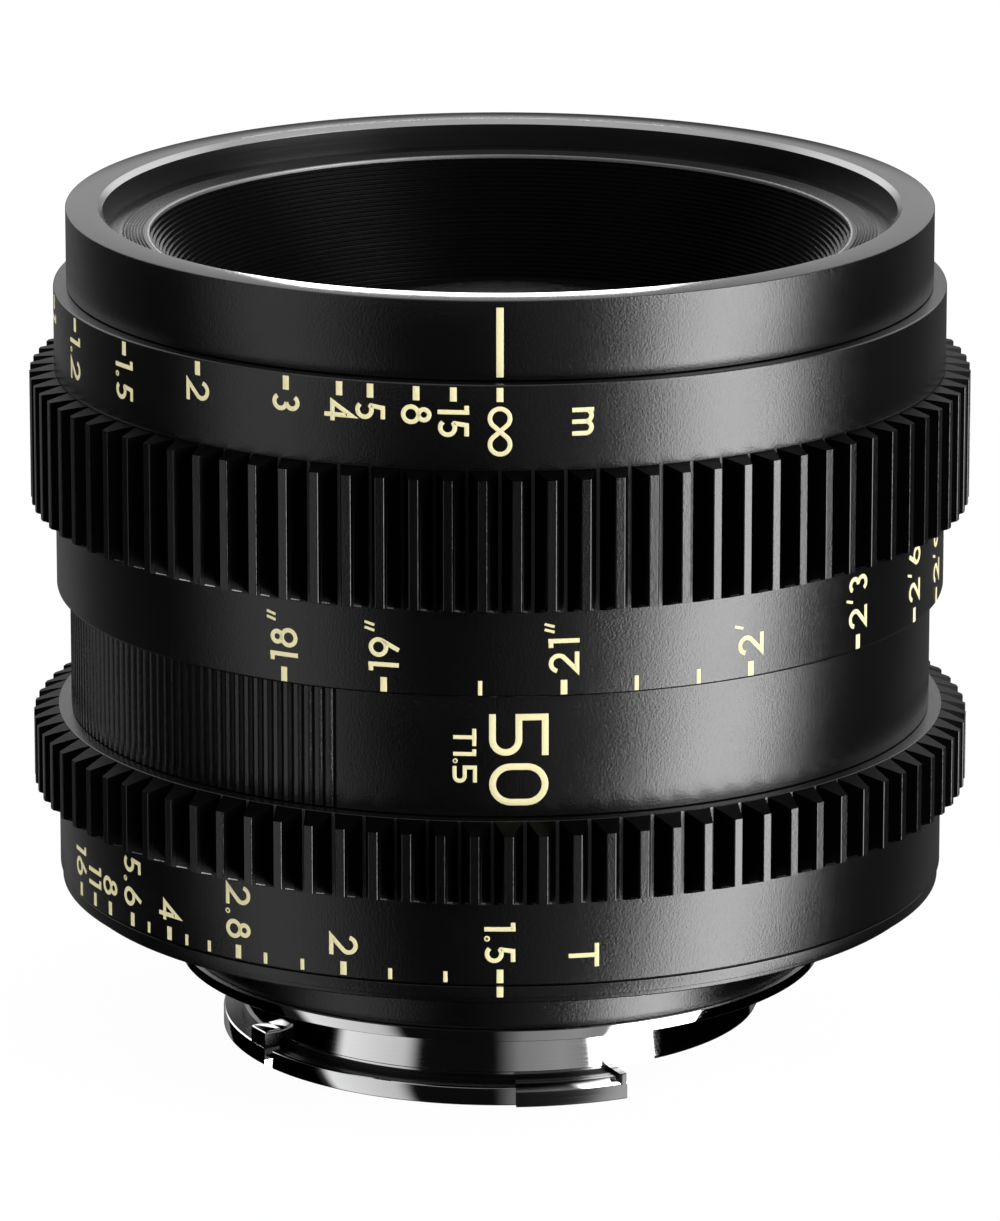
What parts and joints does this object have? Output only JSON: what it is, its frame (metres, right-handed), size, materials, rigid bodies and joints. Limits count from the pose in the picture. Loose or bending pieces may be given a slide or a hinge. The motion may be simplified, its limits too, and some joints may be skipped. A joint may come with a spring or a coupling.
{
  "type": "cinema prime lens",
  "caption": "Compact manual cinema prime lens: geared focus and iris rings on a black barrel, ribbed front recess, chrome bayonet mount.",
  "frame": {"origin": "on the optical axis, level with the back faces of the bayonet lugs", "axes": "+Z along the optical axis towards the subject; the index line faces -Y; +X is to the right of the index line"},
  "size_m": [0.0728, 0.0728, 0.066],
  "materials": {
    "black_anodised": "bead-blasted, satin black anodised",
    "baffle_black": "matte black anodised",
    "chrome": "polished chrome",
    "steel": "satin steel",
    "brass": "turned brass",
    "blade_steel": "matte black blued steel",
    "coated_glass": "polished optical glass, anti-reflection coated"
  },
  "bodies": {
    "barrel": {"front_barrel": "black_anodised", "front_baffle": "baffle_black", "main_tube": "baffle_black", "mid_barrel": "black_anodised", "rear_index_ring": "black_anodised", "rear_housing": "black_anodised", "bayonet_mount": "chrome", "mount_screws": "steel", "front_screws": "steel"},
    "focus_ring_body": {"focus_ring": "black_anodised", "focus_cam_sleeve": "brass", "focus_ring_screws": "steel"},
    "aperture_ring_body": {"aperture_ring": "black_anodised", "aperture_fork": "steel", "aperture_fork_screws": "steel"},
    "lens_cell": {"lens_carrier": "baffle_black", "front_cell": "baffle_black", "rear_cell": "baffle_black", "rear_cell_screws": "steel", "iris_base": "baffle_black", "iris_plate": "baffle_black", "follower_pins": "steel", "key_rollers": "brass", "cam_rollers": "brass", "front_retaining_ring": "baffle_black", "inner_retaining_ring": "baffle_black", "rear_spacer_ring": "baffle_black", "rear_retaining_ring": "baffle_black", "lens_element_1": "coated_glass", "lens_element_2": "coated_glass", "lens_element_3": "coated_glass", "lens_element_4": "coated_glass", "lens_element_5": "coated_glass", "lens_element_6": "coated_glass", "lens_element_7": "coated_glass"},
    "iris_drive": {"iris_ring": "blade_steel", "iris_lever": "steel"},
    "iris_blade_1": {"iris_blade_1": "blade_steel"},
    "iris_blade_2": {"iris_blade_2": "blade_steel"},
    "iris_blade_3": {"iris_blade_3": "blade_steel"},
    "iris_blade_4": {"iris_blade_4": "blade_steel"},
    "iris_blade_5": {"iris_blade_5": "blade_steel"},
    "iris_blade_6": {"iris_blade_6": "blade_steel"},
    "iris_blade_7": {"iris_blade_7": "blade_steel"},
    "iris_blade_8": {"iris_blade_8": "blade_steel"},
    "iris_blade_9": {"iris_blade_9": "blade_steel"},
    "iris_blade_10": {"iris_blade_10": "blade_steel"}
  },
  "joints": [
    {"name": "focus_turn", "type": "hinge", "parent": "barrel", "child": "focus_ring_body", "pos_m": [0, 0, 0.048], "axis": [0, 0, 1], "range_deg": [0, 208]},
    {"name": "aperture_turn", "type": "hinge", "parent": "barrel", "child": "aperture_ring_body", "pos_m": [0, 0, 0.02], "axis": [0, 0, 1], "range_deg": [0, 70]},
    {"name": "cell_slide", "type": "slide", "parent": "barrel", "child": "lens_cell", "axis": [0, 0, 1], "range_m": [0, 0.007]},
    {"name": "iris_turn", "type": "hinge", "parent": "lens_cell", "child": "iris_drive", "pos_m": [0, 0, 0.034], "axis": [0, 0, 1], "range_deg": [0, 70]},
    {"name": "blade_1_turn", "type": "hinge", "parent": "lens_cell", "child": "iris_blade_1", "pos_m": [0.0189, 0, 0.035], "axis": [0, 0, 1], "range_deg": [0, 37]},
    {"name": "blade_2_turn", "type": "hinge", "parent": "lens_cell", "child": "iris_blade_2", "pos_m": [0.01529, 0.01111, 0.035], "axis": [0, 0, 1], "range_deg": [0, 37]},
    {"name": "blade_3_turn", "type": "hinge", "parent": "lens_cell", "child": "iris_blade_3", "pos_m": [0.00584, 0.01797, 0.035], "axis": [0, 0, 1], "range_deg": [0, 37]},
    {"name": "blade_4_turn", "type": "hinge", "parent": "lens_cell", "child": "iris_blade_4", "pos_m": [-0.00584, 0.01797, 0.035], "axis": [0, 0, 1], "range_deg": [0, 37]},
    {"name": "blade_5_turn", "type": "hinge", "parent": "lens_cell", "child": "iris_blade_5", "pos_m": [-0.01529, 0.01111, 0.035], "axis": [0, 0, 1], "range_deg": [0, 37]},
    {"name": "blade_6_turn", "type": "hinge", "parent": "lens_cell", "child": "iris_blade_6", "pos_m": [-0.0189, 0, 0.035], "axis": [0, 0, 1], "range_deg": [0, 37]},
    {"name": "blade_7_turn", "type": "hinge", "parent": "lens_cell", "child": "iris_blade_7", "pos_m": [-0.01529, -0.01111, 0.035], "axis": [0, 0, 1], "range_deg": [0, 37]},
    {"name": "blade_8_turn", "type": "hinge", "parent": "lens_cell", "child": "iris_blade_8", "pos_m": [-0.00584, -0.01797, 0.035], "axis": [0, 0, 1], "range_deg": [0, 37]},
    {"name": "blade_9_turn", "type": "hinge", "parent": "lens_cell", "child": "iris_blade_9", "pos_m": [0.00584, -0.01797, 0.035], "axis": [0, 0, 1], "range_deg": [0, 37]},
    {"name": "blade_10_turn", "type": "hinge", "parent": "lens_cell", "child": "iris_blade_10", "pos_m": [0.01529, -0.01111, 0.035], "axis": [0, 0, 1], "range_deg": [0, 37]}
  ],
  "couplings": [
    {"joint": "cell_slide", "follows": "focus_turn", "m_per_rad": 0.0019282},
    {"joint": "iris_turn", "follows": "aperture_turn", "ratio": 1},
    {"joint": "blade_1_turn", "follows": "aperture_turn", "ratio": 0.52857},
    {"joint": "blade_2_turn", "follows": "aperture_turn", "ratio": 0.52857},
    {"joint": "blade_3_turn", "follows": "aperture_turn", "ratio": 0.52857},
    {"joint": "blade_4_turn", "follows": "aperture_turn", "ratio": 0.52857},
    {"joint": "blade_5_turn", "follows": "aperture_turn", "ratio": 0.52857},
    {"joint": "blade_6_turn", "follows": "aperture_turn", "ratio": 0.52857},
    {"joint": "blade_7_turn", "follows": "aperture_turn", "ratio": 0.52857},
    {"joint": "blade_8_turn", "follows": "aperture_turn", "ratio": 0.52857},
    {"joint": "blade_9_turn", "follows": "aperture_turn", "ratio": 0.52857},
    {"joint": "blade_10_turn", "follows": "aperture_turn", "ratio": 0.52857}
  ]
}
